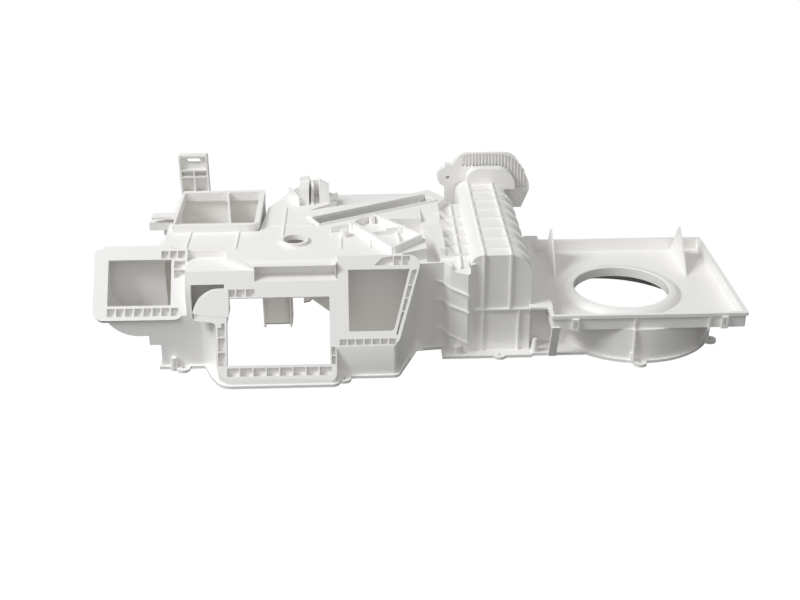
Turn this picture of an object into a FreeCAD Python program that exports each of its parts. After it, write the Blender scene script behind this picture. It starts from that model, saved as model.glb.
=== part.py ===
import FreeCAD, Part
import math
import os
import Sketcher

# Half of a vehicle air conditioning case, moulded in one piece of white plastic. It lies on its
# parting face, z = 0, with its open side down. X runs across the vehicle, Y to the back, Z up.
# The outlets and the mixing chamber are at -X, the evaporator chamber is in the middle, and the
# blower scroll with the square inlet tray is at +X. Lengths are millimetres, angles are degrees.

NODE = "housing"

sizes = {
    # walls
    "wall": 2.5, "web": 2.2, "rib_high": 2.5, "run_out": 12, "flange_out": 3.2, "flange_thick": 3.5,
    "foot_radius": 8, "screw_radius": 2,
    # mixing chamber, seen from above
    "left_side": -240, "left_front": 50, "mid_left": -171.7, "mid_right": -33, "mid_front": -1,
    "step_front": 18, "right_foot": 36, "right_back_x": 60, "right_back_y": 83, "saddle_left": 97,
    "notch_x": 108, "notch_y": 266, "crest_x": 87, "crest_y": 297, "lip_right_x": 62,
    "lip_right_y": 282, "lip_left_x": -68, "lip_left_y": 228, "tower_right": -34, "tower_back": 284,
    "back_left": -96, "shoulder_x": -121, "shoulder_y": 240, "duct_front": 160,
    "corner_inside": 22, "corner_front": 18, "corner_small": 6, "corner_back": 12,
    # mixing chamber, seen from the side
    "top": 127, "front_tilt": 60, "tilt_foot_y": 1, "tilt_foot_z": 10, "nose": 10,
    "back_edge": 319, "back_low": 113, "back_high": 123,
    # steps in the top and the slanted front
    "strip_level": 118.5, "strip_right": -127, "strip_back": 103, "strip_slant_x": -161,
    "strip_slant_y": 84, "strip_turn_y": 64,
    "grip_left": -127, "grip_right": -31, "grip_low": 107, "grip_high": 122, "grip_back": 79,
    "nook_left": -200.5, "nook_right": -162, "nook_low": 64, "nook_high": 105, "nook_back": 76,
    "nook_round": 30,
    "well_floor": 104, "well_right": 73, "well_front": 89, "well_back": 194, "ramp_front": 172,
    "ramp_drop": 9,
    "notch_left": 46, "notch_front": 50, "notch_back": 96, "notch_level": 114, "gusset_back": 170,
    "gusset_front": 110, "gusset_right": 91,
    # saddle between the mixing chamber and the evaporator chamber
    "saddle_top": 117, "saddle_wall_x": 101, "saddle_wall_y": 75, "saddle_front": 67,
    "saddle_end": 122, "saddle_back": 268, "slope_left": 104, "slope_back": 100, "slope_drop": 11,
    # evaporator chamber
    "cooler_left": 125, "cooler_right": 198, "cooler_front": 75, "cooler_back": 326,
    "cooler_round_left": 15, "cooler_round_right": 28,
    # left outlet
    "left_tilt": 50, "left_foot_y": 47, "left_foot_z": 65, "left_edge": -316, "left_inner": -207,
    "left_duct": -306, "left_duct_low": 43, "left_elbow": 42, "left_duct_back": 112,
    "left_top": 131.5, "left_open_low": 17.5, "left_open_high": 73, "left_open_left": -299.5,
    "left_open_right": -226,
    # middle and right outlets, measured up the slanted front
    "rim_deep": 9, "pocket_deep": 7, "rim_skin": 1.6, "frame_reach": 5,
    "mid_open_low": 15.6, "mid_open_high": 93.5, "mid_open_left": -159.4, "mid_open_right": -40.7,
    "mid_rim_low": 0.5, "mid_rim_high": 104, "mid_round": 15,
    "right_rim_left": -31, "right_rim_low": 35.5, "right_rim_foot": 38, "right_rim_shoulder": 69,
    "right_rim_high": 140.5, "right_open_left": -18.5, "right_open_low": 52.5,
    "right_open_foot": 33.5, "right_open_shoulder": 53, "right_open_high": 124, "right_round": 12,
    # rear outlet
    "rear_left": -233, "rear_right": -127, "rear_back": 282, "rear_top": 136,
    "rear_open_left": -225, "rear_open_right": -137, "rear_open_front": 168, "rear_open_back": 270,
    "divider_front": -163, "divider_back": -175, "rear_round": 15,
    # walls inside
    "room_back": 118, "divider_low": 40,
    # heater slot, along its front edge
    "slot_x": -52, "slot_y": 177.5, "slot_turn": 27.3, "slot_long": 152, "slot_wide": 24.5,
    "slot_deep": 100,
    # blower scroll and inlet tray
    "wheel_x": 320, "wheel_y": 141, "inlet_radius": 58.6, "inlet_lip": 53,
    "scroll_x": 331, "scroll_y": 139, "scroll_radius": 98, "scroll_back_x": 313,
    "scroll_back_y": 165, "scroll_back_radius": 117.5, "throat_front": 152,
    "tray_left": 219.6, "tray_right": 449.6, "tray_front": 44.4, "tray_back": 271.8,
    "tray_floor": 43, "tray_rim": 62, "tray_wall": 3, "tray_lip": 2,
    "link_front": 92, "link_top": 62, "fin_front": 180, "fin_tip": 235, "fin_high": 92,
    # rear plate behind the evaporator chamber
    "plate_front": 330, "plate_thick": 12, "plate_low": 87, "plate_left": 112, "plate_step": 121,
    "plate_step_z": 149, "plate_top": 165.5, "plate_right": 226.5, "plate_shoulder": 112,
    "slat_pitch": 4.4, "slat_gap": 2.8, "slat_count": 21, "dome_left": 140, "dome_right": 205,
    "dome_top": 148,
    "lug_x": 115.5, "lug_z": 132, "lug_radius": 14, "lug_hole": 2.6,
    # bracket
    "bracket_left": -236.7, "bracket_right": -199.7, "bracket_high": 185, "bracket_deep": 11,
    "bracket_slot_z": 176.5, "bracket_slot_wide": 6, "bracket_slot_long": 18,
    # shaft hole in the top
    "shaft_x": -82.4, "shaft_y": 126, "shaft_radius": 13.5, "shaft_collar": 4, "collar_wall": 3,
    # mount of the flap motor, seen from above
    "mount_left_x": -40, "mount_left_y": 153, "mount_bend_x": -14, "mount_bend_y": 167,
    "mount_peak_x": 12, "mount_peak_y": 190, "mount_right_x": 69, "mount_right_y": 121,
    "mount_foot_x": 35, "mount_foot_y": 86, "mount_high": 10, "mount_bar": 5,
    # fastening tower
    "tower_x": -69, "tower_front": 244, "tower_high": 21, "tower_horn": 27, "tower_leaf": 33,
    # ribs
    "rib_thick": 2, "rib_first": 96, "rib_pitch": 31.4, "rib_count": 7,
    "wave_first": 98.4, "wave_pitch": 29.5, "wave_count": 5, "wave_head": 101, "wave_foot": 109,
}


class Dim:
    """A size from the sheet, or a sum of sizes, with its value and its formula."""

    def __init__(self, number, formula):
        self.number = number
        self.formula = formula

    def mix(self, other, sign, swapped=False):
        first, second = (as_dim(other), self) if swapped else (self, as_dim(other))
        a, b = first.number, second.number
        number = {"+": lambda: a + b, "-": lambda: a - b, "*": lambda: a * b, "/": lambda: a / b}[sign]()
        return Dim(number, "(%s %s %s)" % (first.formula, sign, second.formula))

    def __add__(self, other):
        return self.mix(other, "+")

    def __radd__(self, other):
        return self.mix(other, "+", True)

    def __sub__(self, other):
        return self.mix(other, "-")

    def __rsub__(self, other):
        return self.mix(other, "-", True)

    def __mul__(self, other):
        return self.mix(other, "*")

    def __rmul__(self, other):
        return self.mix(other, "*", True)

    def __truediv__(self, other):
        return self.mix(other, "/")

    def __neg__(self):
        return Dim(-self.number, "(0 - %s)" % self.formula)


def as_dim(size):
    return size if isinstance(size, Dim) else Dim(float(size), repr(float(size)))


def sine(angle):
    return Dim(math.sin(math.radians(angle.number)), "sin(%s)" % angle.formula)


def cosine(angle):
    return Dim(math.cos(math.radians(angle.number)), "cos(%s)" % angle.formula)


def span(run, rise):
    run, rise = as_dim(run), as_dim(rise)
    return Dim(math.hypot(run.number, rise.number), "hypot(%s; %s)" % (run.formula, rise.formula))


def bearing(run, rise):
    run, rise = as_dim(run), as_dim(rise)
    angle = math.degrees(math.atan2(rise.number, run.number))
    return Dim(angle, "atan2(%s; %s)" % (rise.formula, run.formula))


doc = FreeCAD.newDocument("Housing")
sheet = doc.addObject("Spreadsheet::Sheet", "Sizes")
for row, (alias, number) in enumerate(sizes.items(), 1):
    sheet.set("A%d" % row, alias)
    sheet.set("B%d" % row, str(number))
    sheet.setAlias("B%d" % row, alias)
doc.recompute()


class Sheet:
    """The driving sizes by name."""


s = Sheet()
for alias, number in sizes.items():
    setattr(s, alias, Dim(float(number), "Sizes." + alias))

X_AXIS = FreeCAD.Vector(1, 0, 0)
Z_AXIS = FreeCAD.Vector(0, 0, 1)
CYCLE = FreeCAD.Vector(1, 1, 1)


class Place:
    """Where a sketch lies: a base point, a turn about an axis, and the way out of its face."""

    def __init__(self, base=(0, 0, 0), axis=Z_AXIS, angle=0, out=(0, 0, 1)):
        self.base = [as_dim(size) for size in base]
        self.axis = axis
        self.angle = as_dim(angle)
        self.out = [as_dim(size) for size in out]

    def apply(self, thing, path):
        base = FreeCAD.Vector(*[size.number for size in self.base])
        turn = FreeCAD.Rotation(self.axis, self.angle.number)
        setattr(thing, path, FreeCAD.Placement(base, turn))
        for letter, size in zip("xyz", self.base):
            thing.setExpression("%s.Base.%s" % (path, letter), size.formula)
        if self.angle.number:
            thing.setExpression("%s.Rotation.Angle" % path, self.angle.formula)


def level(height):
    """Seen from above: sketch x is X, sketch y is Y, out is +Z."""
    return Place((0, 0, height))


def facing_front(depth):
    """Seen from the front: sketch x is X, sketch y is Z, out is -Y."""
    return Place((0, depth, 0), X_AXIS, 90, (0, -1, 0))


def facing_side(across):
    """Seen from the side: sketch x is Y, sketch y is Z, out is +X."""
    return Place((across, 0, 0), CYCLE, 120, (1, 0, 0))


def on_front(deeper=0):
    """On the slanted front: sketch x is X, sketch y runs up the slope, out is away from the case."""
    return tilted(s.tilt_foot_y, s.tilt_foot_z, s.front_tilt, as_dim(deeper))


def on_left_frame(deeper=0):
    return tilted(s.left_foot_y, s.left_foot_z, s.left_tilt, as_dim(deeper))


def tilted(foot_y, foot_z, tilt, deeper):
    base = (0, foot_y + deeper * sine(tilt), foot_z - deeper * cosine(tilt))
    return Place(base, X_AXIS, tilt, (0, -sine(tilt), cosine(tilt)))


def fix_point(sketch, element, point, x, y):
    for kind, size in (("DistanceX", x), ("DistanceY", y)):
        size = as_dim(size)
        index = sketch.addConstraint(Sketcher.Constraint(kind, -1, 1, element, point, size.number))
        sketch.setExpression("Constraints[%d]" % index, size.formula)


def draw_outline(sketch, corners):
    """Draw a closed outline. A corner is (x, y), or (x, y, radius) where it is rounded."""
    points = [FreeCAD.Vector(as_dim(c[0]).number, as_dim(c[1]).number, 0) for c in corners]
    count = len(points)
    ends = []
    for i, corner in enumerate(corners):
        here = points[i]
        back = (points[i - 1] - here).normalize()
        ahead = (points[(i + 1) % count] - here).normalize()
        if len(corner) == 2:
            ends.append((here, here, None))
            continue
        half = back.getAngle(ahead) / 2
        radius = as_dim(corner[2]).number
        start, stop = here + back * (radius / math.tan(half)), here + ahead * (radius / math.tan(half))
        centre = here + (back + ahead).normalize() * (radius / math.sin(half))
        left_turn = back.cross(ahead).z < 0
        first, last = (start, stop) if left_turn else (stop, start)
        a = math.atan2(first.y - centre.y, first.x - centre.x)
        b = math.atan2(last.y - centre.y, last.x - centre.x)
        arc = Part.ArcOfCircle(Part.Circle(centre, Z_AXIS, radius), a, b)
        ends.append((start, stop, (arc, left_turn)))
    lines = []
    for i in range(count):
        segment = Part.LineSegment(ends[i][1], ends[(i + 1) % count][0])
        lines.append(sketch.addGeometry(segment))
    for i, corner in enumerate(corners):
        before, after = lines[i - 1], lines[i]
        if len(corner) == 2:
            sketch.addConstraint(Sketcher.Constraint("Coincident", before, 2, after, 1))
            fix_point(sketch, after, 1, corner[0], corner[1])
            continue
        arc, left_turn = ends[i][2]
        bend = sketch.addGeometry(arc)
        joint = sketch.addGeometry(Part.Point(points[i]), True)
        near, far = (1, 2) if left_turn else (2, 1)
        sketch.addConstraint(Sketcher.Constraint("Tangent", before, 2, bend, near))
        sketch.addConstraint(Sketcher.Constraint("Tangent", bend, far, after, 1))
        radius = as_dim(corner[2])
        index = sketch.addConstraint(Sketcher.Constraint("Radius", bend, radius.number))
        sketch.setExpression("Constraints[%d]" % index, radius.formula)
        sketch.addConstraint(Sketcher.Constraint("PointOnObject", joint, 1, before))
        sketch.addConstraint(Sketcher.Constraint("PointOnObject", joint, 1, after))
        fix_point(sketch, joint, 1, corner[0], corner[1])


def draw_circle(sketch, x, y, radius):
    x, y, radius = as_dim(x), as_dim(y), as_dim(radius)
    ring = Part.Circle(FreeCAD.Vector(x.number, y.number, 0), Z_AXIS, radius.number)
    element = sketch.addGeometry(ring)
    fix_point(sketch, element, 3, x, y)
    index = sketch.addConstraint(Sketcher.Constraint("Radius", element, radius.number))
    sketch.setExpression("Constraints[%d]" % index, radius.formula)


places = {}


def outline(name, place, corners):
    sketch = doc.addObject("Sketcher::SketchObject", name + "_outline")
    place.apply(sketch, "Placement")
    draw_outline(sketch, corners)
    places[sketch.Name] = place
    return sketch


def extrude(name, base, start, stop, reverse=False):
    """A solid from a closed outline, between two distances from its plane."""
    solid = doc.addObject("Part::Extrusion", name)
    solid.Base = base
    solid.DirMode = "Custom"
    out = places[base.Name].out
    solid.Dir = FreeCAD.Vector(*[size.number for size in out])
    for letter, size in zip("xyz", out):
        solid.setExpression("Dir." + letter, size.formula)
    solid.Solid = True
    solid.Reversed = reverse
    solid.setExpression("LengthFwd", as_dim(stop).formula)
    solid.setExpression("LengthRev", (-as_dim(start)).formula)
    return solid


def offset(name, base, distance):
    grown = doc.addObject("Part::Offset2D", name)
    grown.Source = base
    grown.Join = "Arc" if base.Name == "scroll_outline" else "Intersection"
    grown.setExpression("Value", as_dim(distance).formula)
    places[grown.Name] = places[base.Name]
    return grown


def join(name, things):
    if len(things) == 1:
        return things[0]
    whole = doc.addObject("Part::MultiFuse", name)
    whole.Shapes = things
    return whole


def overlap(name, things):
    common = doc.addObject("Part::MultiCommon", name)
    common.Shapes = things
    return common


def cut(name, base, tools):
    left = doc.addObject("Part::Cut", name)
    left.Base = base
    left.Tool = join(name + "_tools", tools)
    return left


def box(name, x, y, z):
    """A block between two places along each axis."""
    block = doc.addObject("Part::Box", name)
    for side, letter, (low, high) in zip(("Length", "Width", "Height"), "xyz", (x, y, z)):
        low, high = as_dim(low), as_dim(high)
        block.setExpression(side, (high - low).formula)
        block.setExpression("Placement.Base." + letter, low.formula)
    return block


def wall_between(name, start, stop, low, high, thick):
    """An upright web along a line seen from above."""
    run, rise = as_dim(stop[0]) - start[0], as_dim(stop[1]) - start[1]
    heading = bearing(run, rise)
    web = doc.addObject("Part::Box", name)
    web.setExpression("Length", span(run, rise).formula)
    web.setExpression("Width", as_dim(thick).formula)
    web.setExpression("Height", (as_dim(high) - low).formula)
    Place((start[0] + as_dim(thick) / 2 * sine(heading), start[1] - as_dim(thick) / 2 * cosine(heading),
           low), Z_AXIS, heading).apply(web, "Placement")
    return web


def post(name, x, y, low, high, radius, tip=None):
    """An upright round post. With a tip radius it tapers."""
    tip = radius if tip is None else tip
    kind = "Part::Cylinder" if tip is radius else "Part::Cone"
    round_post = doc.addObject(kind, name)
    if kind == "Part::Cylinder":
        round_post.setExpression("Radius", as_dim(radius).formula)
    else:
        round_post.setExpression("Radius1", as_dim(radius).formula)
        round_post.setExpression("Radius2", as_dim(tip).formula)
    round_post.setExpression("Height", (as_dim(high) - low).formula)
    Place((x, y, low)).apply(round_post, "Placement")
    return round_post


# Chambers. Each one is an outline pushed out to a solid, and the same outline, one wall smaller,
# pushed out to its hollow. Both run past the parting face, where the case is trimmed.

def chamber(name, place, corners, start, stop, reverse=False, open_start=False):
    sketch = outline(name, place, corners)
    outer = extrude(name + "_outer", sketch, start, stop, reverse)
    inner_start = start if open_start else as_dim(start) + s.wall
    inner = extrude(name + "_hollow", offset(name + "_inside", sketch, -s.wall),
                    inner_start, as_dim(stop) - s.wall, reverse)
    return sketch, outer, inner


def rise_along_front(height):
    """How far back the slanted front is at a height."""
    return s.tilt_foot_y + (as_dim(height) - s.tilt_foot_z) * cosine(s.front_tilt) / sine(s.front_tilt)


def mixing_chamber():
    plan = [(s.left_side, s.left_front), (s.mid_left, s.left_front, s.corner_inside),
            (s.mid_left, s.mid_front, s.corner_front), (s.mid_right, s.mid_front, s.corner_small),
            (s.mid_right, s.step_front), (s.right_foot, s.step_front, s.corner_small),
            (s.right_back_x, s.right_back_y, s.corner_small), (s.saddle_left, s.right_back_y + 4),
            (s.saddle_left, s.notch_y - 20), (s.notch_x, s.notch_y), (s.crest_x, s.crest_y),
            (s.lip_right_x, s.lip_right_y), (s.lip_left_x, s.lip_left_y),
            (s.tower_right, s.tower_back - 24), (s.tower_right, s.tower_back),
            (s.back_left + 48, s.crest_y), (s.back_left, s.crest_y, s.corner_back),
            (s.shoulder_x, s.shoulder_y, s.corner_front), (s.rear_right, s.duct_front + s.wall),
            (s.left_side, s.duct_front + s.wall)]
    side = [(rise_along_front(-s.run_out), -s.run_out),
            (rise_along_front(s.top), s.top, s.nose),
            (s.crest_y + 10, s.top), (s.crest_y + 10, -s.run_out)]
    sketch, outer_plan, inner_plan = chamber("mixing", level(-s.run_out), plan, 0,
                                             s.run_out + s.top, open_start=True)
    _, outer_side, inner_side = chamber("mixing_side", facing_side(s.left_side - 10), side, 0,
                                        s.notch_x - s.left_side + 20)
    return (sketch, overlap("mixing_outer_body", [outer_plan, outer_side]),
            overlap("mixing_hollow_body", [inner_plan, inner_side]))


def back_slope():
    plan = [(s.lip_left_x - 10, s.lip_left_y - 12), (s.lip_right_x + 6, s.lip_right_y - 10),
            (s.lip_right_x + 6, s.back_edge), (s.tower_right - 28, s.back_edge),
            (s.tower_right - 28, s.tower_back - 30)]
    side = [(s.lip_left_y - 30, -s.run_out), (s.lip_left_y - 30, s.back_high + 1),
            (s.back_edge + 4, s.back_low), (s.back_edge + 4, -s.run_out)]
    sketch, outer_plan, inner_plan = chamber("back", level(-s.run_out), plan, 0,
                                             s.run_out + s.top, open_start=True)
    _, outer_side, inner_side = chamber("back_side", facing_side(s.left_side), side, 0,
                                        s.notch_x - s.left_side)
    return (sketch, overlap("back_outer_body", [outer_plan, outer_side]),
            overlap("back_hollow_body", [inner_plan, inner_side]))


def saddle():
    plan = [(s.right_back_x + 10, s.right_back_y + 4), (s.saddle_left - 2, s.right_back_y + 4),
            (s.saddle_wall_x, s.saddle_wall_y, s.corner_small), (s.saddle_end, s.saddle_front),
            (s.cooler_left + 12, s.saddle_front + 12), (s.cooler_left + 12, s.saddle_back),
            (s.right_back_x + 10, s.saddle_back)]
    return chamber("saddle", level(-s.run_out), plan, 0, s.run_out + s.saddle_top, open_start=True)


def evaporator_chamber():
    front = [(s.cooler_left, -s.run_out), (s.cooler_right, -s.run_out),
             (s.cooler_right, s.top, s.cooler_round_right), (s.cooler_left, s.top, s.cooler_round_left)]
    _, outer, inner = chamber("cooler", facing_front(s.cooler_front), front, 0,
                              s.cooler_back - s.cooler_front, reverse=True)
    foot = outline("cooler_foot", level(-s.run_out),
                   [(s.cooler_left, s.cooler_front), (s.cooler_right, s.cooler_front),
                    (s.cooler_right, s.cooler_back), (s.cooler_left, s.cooler_back)])
    return foot, outer, inner


def left_elbow():
    """The left outlet's duct, with a round elbow under it where it turns into the chamber."""
    front = [(s.left_duct, s.left_top), (s.left_duct, s.left_duct_low, s.left_elbow),
             (s.left_side + 14, s.left_duct_low), (s.left_side + 14, s.left_top)]
    reach = (s.left_top - s.left_foot_z) * cosine(s.left_tilt) / sine(s.left_tilt)
    side = [(s.left_front, s.left_duct_low - 6),
            (s.left_front, s.left_foot_z + (s.left_front - s.left_foot_y)
             * sine(s.left_tilt) / cosine(s.left_tilt)),
            (s.left_foot_y + reach, s.left_top), (s.left_duct_back, s.left_top),
            (s.left_duct_back, s.left_duct_low - 6)]
    _, outer_front, inner_front = chamber("elbow", facing_front(s.left_front - 10), front, 0,
                                          s.left_duct_back - s.left_front + 20, reverse=True)
    _, outer_side, inner_side = chamber("elbow_side", facing_side(s.left_duct - 10), side, 0,
                                        s.left_side - s.left_duct + 40)
    return (overlap("elbow_outer_body", [outer_front, outer_side]),
            overlap("elbow_hollow_body", [inner_front, inner_side]))


def rear_duct():
    plan = [(s.left_side, s.duct_front), (s.rear_right, s.duct_front, s.rear_round),
            (s.rear_right, s.rear_back, s.corner_back), (s.left_side, s.rear_back)]
    sketch = outline("rear_duct", level(-s.run_out), plan)
    rim = outline("rear_rim", level(s.rear_top - s.rim_deep),
                  [(s.rear_left, s.duct_front), (s.rear_right, s.duct_front, s.rear_round),
                   (s.rear_right, s.rear_back, s.corner_small), (s.rear_left, s.rear_back)])
    outer = extrude("rear_duct_outer", sketch, 0, s.run_out + s.top)
    rim_solid = extrude("rear_rim_outer", rim, 0, s.rim_deep)
    hollow = extrude("rear_duct_hollow", offset("rear_duct_inside", sketch, -s.wall), 0,
                     s.run_out + s.top - s.wall)
    return sketch, [outer, rim_solid], hollow


def blower_scroll():
    """The volute: a round front, a wider round back and a straight throat to the evaporator."""
    sketch = doc.addObject("Sketcher::SketchObject", "scroll_outline")
    places[sketch.Name] = level(-s.run_out)
    places[sketch.Name].apply(sketch, "Placement")
    far_right = s.scroll_x + s.scroll_radius
    back_right = s.scroll_back_x + s.scroll_back_radius
    back = s.scroll_back_y + s.scroll_back_radius
    tongue = s.scroll_x - s.scroll_radius
    inlet = s.cooler_right - 10
    stops = [(inlet, s.throat_front), (tongue, s.throat_front), (tongue, s.scroll_y),
             (far_right, s.scroll_y), (back_right, s.scroll_back_y), (s.scroll_back_x, back),
             (inlet, back)]
    points = [FreeCAD.Vector(as_dim(x).number, as_dim(y).number, 0) for x, y in stops]
    bends = {2: (s.scroll_x, s.scroll_y, s.scroll_radius, math.pi, 2 * math.pi),
             4: (s.scroll_back_x, s.scroll_back_y, s.scroll_back_radius, 0, math.pi / 2)}
    elements = []
    for i, point in enumerate(points):
        if i in bends:
            x, y, radius, first, last = bends[i]
            centre = FreeCAD.Vector(x.number, y.number, 0)
            arc = Part.ArcOfCircle(Part.Circle(centre, Z_AXIS, radius.number), first, last)
            elements.append(sketch.addGeometry(arc))
        else:
            elements.append(sketch.addGeometry(Part.LineSegment(point, points[(i + 1) % len(points)])))
    for i, (x, y) in enumerate(stops):
        sketch.addConstraint(Sketcher.Constraint("Coincident", elements[i - 1], 2, elements[i], 1))
        fix_point(sketch, elements[i], 1, x, y)
    for i, (x, y, radius, first, last) in bends.items():
        centre = x if i == 4 else y
        kind = "DistanceX" if i == 4 else "DistanceY"
        index = sketch.addConstraint(Sketcher.Constraint(kind, -1, 1, elements[i], 3, centre.number))
        sketch.setExpression("Constraints[%d]" % index, centre.formula)
    outer = extrude("scroll_outer", sketch, 0, s.run_out + s.tray_floor)
    inner = extrude("scroll_hollow", offset("scroll_inside", sketch, -s.wall), 0,
                    s.run_out + s.tray_floor - s.wall)
    return sketch, outer, inner


def link_duct():
    plan = [(s.cooler_right - 8, s.link_front), (s.tray_left + 1, s.link_front),
            (s.tray_left + 1, s.scroll_back_y + s.scroll_back_radius),
            (s.cooler_right - 8, s.scroll_back_y + s.scroll_back_radius)]
    return chamber("link", level(-s.run_out), plan, 0, s.run_out + s.link_top, open_start=True)


# Steps in the skin. Each takes its shape out of the chambers and keeps one wall behind it.

def step(name, place, corners, start, stop, reverse=False):
    sketch = outline(name, place, corners)
    taken = extrude(name + "_step", sketch, start, stop, reverse)
    kept = extrude(name + "_skin", offset(name + "_skin_line", sketch, s.wall),
                   as_dim(start) - s.wall, stop, reverse)
    return taken, kept


def steps():
    far = 60
    beside_mount = s.mount_right_x + s.mount_bar + 1
    slope_end = s.saddle_top - s.slope_drop * far / (s.slope_back - s.saddle_front)
    return [
        step("strip", level(s.strip_level),
             [(s.left_side - 20, s.left_front - far), (s.strip_right, s.left_front - far),
              (s.strip_right, s.strip_turn_y), (s.strip_slant_x, s.strip_slant_y),
              (s.strip_slant_x, s.strip_back), (s.left_side - 20, s.strip_back)],
             0, s.top),
        step("grip", facing_front(s.grip_back),
             [(s.grip_left, s.grip_low), (s.grip_right, s.grip_low), (s.grip_right, s.grip_high),
              (s.grip_left, s.grip_high)], 0, far),
        step("nook", facing_front(s.nook_back),
             [(s.nook_left, s.nook_low), (s.nook_right, s.nook_low), (s.nook_right, s.nook_high),
              (s.nook_left, s.nook_high)], 0, far),
        step("left_face", on_left_frame(),
             [(s.left_edge - far, -far), (s.left_inner, -far), (s.left_inner, 2 * far),
              (s.left_edge - far, 2 * far)], 0, far),
        step("well", level(s.well_floor),
             [(s.mount_peak_x + s.mount_bar + 2, s.well_back), (beside_mount, s.mount_right_y + 6),
              (beside_mount, s.well_front), (s.gusset_right, s.well_front),
              (s.gusset_right, s.gusset_front), (s.well_right + 2, s.gusset_back),
              (s.well_right, s.well_back)],
             0, s.top),
        step("ramp", facing_side(s.well_right),
             [(s.ramp_front, s.top - s.ramp_drop), (s.ramp_front + far, s.top),
              (s.ramp_front + far, s.top + far), (s.ramp_front, s.top + far)],
             0, s.saddle_left - s.well_right + s.wall),
        step("notch", level(s.notch_level),
             [(s.notch_left, s.notch_front), (s.slope_left, s.notch_front), (s.slope_left, s.notch_back),
              (s.well_right + 2, s.notch_back + 4), (s.notch_left, s.notch_back - 10)], 0, s.top),
        step("slope", facing_side(s.slope_left),
             [(s.slope_back - far, slope_end), (s.slope_back, s.saddle_top),
              (s.slope_back, s.top + far), (s.slope_back - far, s.top + far)],
             0, s.cooler_left - s.slope_left),
    ]


# Outlet frames. Each is a thick rim round its opening, with a row of moulding pockets in its face.

def frame_lines():
    """For each outlet: the face it lies on, its rim and its opening."""
    left_high = (s.left_top - s.left_foot_z) / sine(s.left_tilt)
    return {
        "middle": (on_front,
                   [(s.mid_left, s.mid_rim_low, s.mid_round), (s.mid_right, s.mid_rim_low, s.mid_round),
                    (s.mid_right, s.mid_rim_high), (s.mid_left + 12, s.mid_rim_high, s.mid_round),
                    (s.mid_left - 26, s.mid_rim_high - 36),
                    (s.mid_left, s.mid_rim_high - 39, s.corner_small)],
                   [(s.mid_open_left, s.mid_open_low), (s.mid_open_right, s.mid_open_low),
                    (s.mid_open_right, s.mid_open_high), (s.mid_open_left, s.mid_open_high)]),
        "right": (on_front,
                  [(s.right_rim_left, s.right_rim_low), (s.right_rim_foot, s.right_rim_low, s.right_round),
                   (s.right_rim_shoulder, s.right_rim_high, s.right_round),
                   (s.right_rim_left, s.right_rim_high)],
                  [(s.right_open_left, s.right_open_low),
                   (s.right_open_foot, s.right_open_low, s.corner_small),
                   (s.right_open_shoulder, s.right_open_high), (s.right_open_left, s.right_open_high)]),
        "left": (on_left_frame,
                 [(s.left_edge, 0, s.corner_back), (s.left_inner - 4, 0, s.corner_back),
                  (s.left_inner, left_high), (s.left_edge, left_high, s.corner_small)],
                 [(s.left_open_left, s.left_open_low), (s.left_open_right, s.left_open_low),
                  (s.left_open_right, s.left_open_high), (s.left_open_left, s.left_open_high)]),
    }


def frame_rooms():
    """What the skin gives up for each outlet frame, and the way from the frame into the case."""
    rooms = []
    for name, (face, rim, opening) in frame_lines().items():
        for kind, corners, deep in (("room", rim, s.rim_deep), ("way", opening, s.rim_deep + s.wall)):
            line = outline("%s_%s" % (name, kind), face(-s.frame_reach), corners)
            rooms.append(extrude("%s_%s_taken" % (name, kind), line, 0, deep + s.frame_reach, True))
    return rooms


def frame_body(name):
    face, rim, opening = frame_lines()[name]
    body = doc.addObject("PartDesign::Body", name + "_frame")
    sketch = body_sketch(body, name + "_rim", face())
    draw_outline(sketch, rim)
    pad = body.newObject("PartDesign::Pad", name + "_pad")
    pad.Profile = sketch
    pad.Reversed = True
    pad.setExpression("Length", s.rim_deep.formula)
    pocket(body, name + "_opening", face(), opening, s.rim_deep)
    return body, face()


def body_sketch(body, name, place):
    sketch = body.newObject("Sketcher::SketchObject", name)
    floor = [f for f in body.Origin.OriginFeatures if f.Role == "XY_Plane"][0]
    sketch.AttachmentSupport = [(floor, "")]
    sketch.MapMode = "FlatFace"
    place.apply(sketch, "AttachmentOffset")
    return sketch


def pocket(body, name, place, corners, deep):
    sketch = body_sketch(body, name + "_line", place)
    draw_outline(sketch, corners)
    hole = body.newObject("PartDesign::Pocket", name)
    hole.Profile = sketch
    hole.setExpression("Length", as_dim(deep).formula)
    return hole, sketch


def pocket_row(body, name, place, first, pitch, count, deep, axis="H_Axis"):
    """A row of like pockets. first is (x0, x1, y0, y1) of the first pocket on the frame's face."""
    x0, x1, y0, y1 = first
    hole, sketch = pocket(body, name, place, [(x0, y0), (x1, y0), (x1, y1), (x0, y1)], deep)
    if count < 2:
        return
    row = body.newObject("PartDesign::LinearPattern", name + "_row")
    row.Originals = [hole]
    row.Direction = (sketch, [axis])
    row.Occurrences = count
    row.setExpression("Length", (as_dim(pitch) * (count - 1)).formula)
    body.Tip = row


def even_row(body, name, place, low, high, near, far, count, deep, upright=False):
    """Pockets that share a strip evenly, a skin apart."""
    pitch = (as_dim(high) - low) / count
    first = (low, low + pitch - s.rim_skin, near, far)
    if upright:
        first = (near, far, low, low + pitch - s.rim_skin)
    pocket_row(body, name, place, first, pitch, count, deep, "V_Axis" if upright else "H_Axis")


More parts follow.
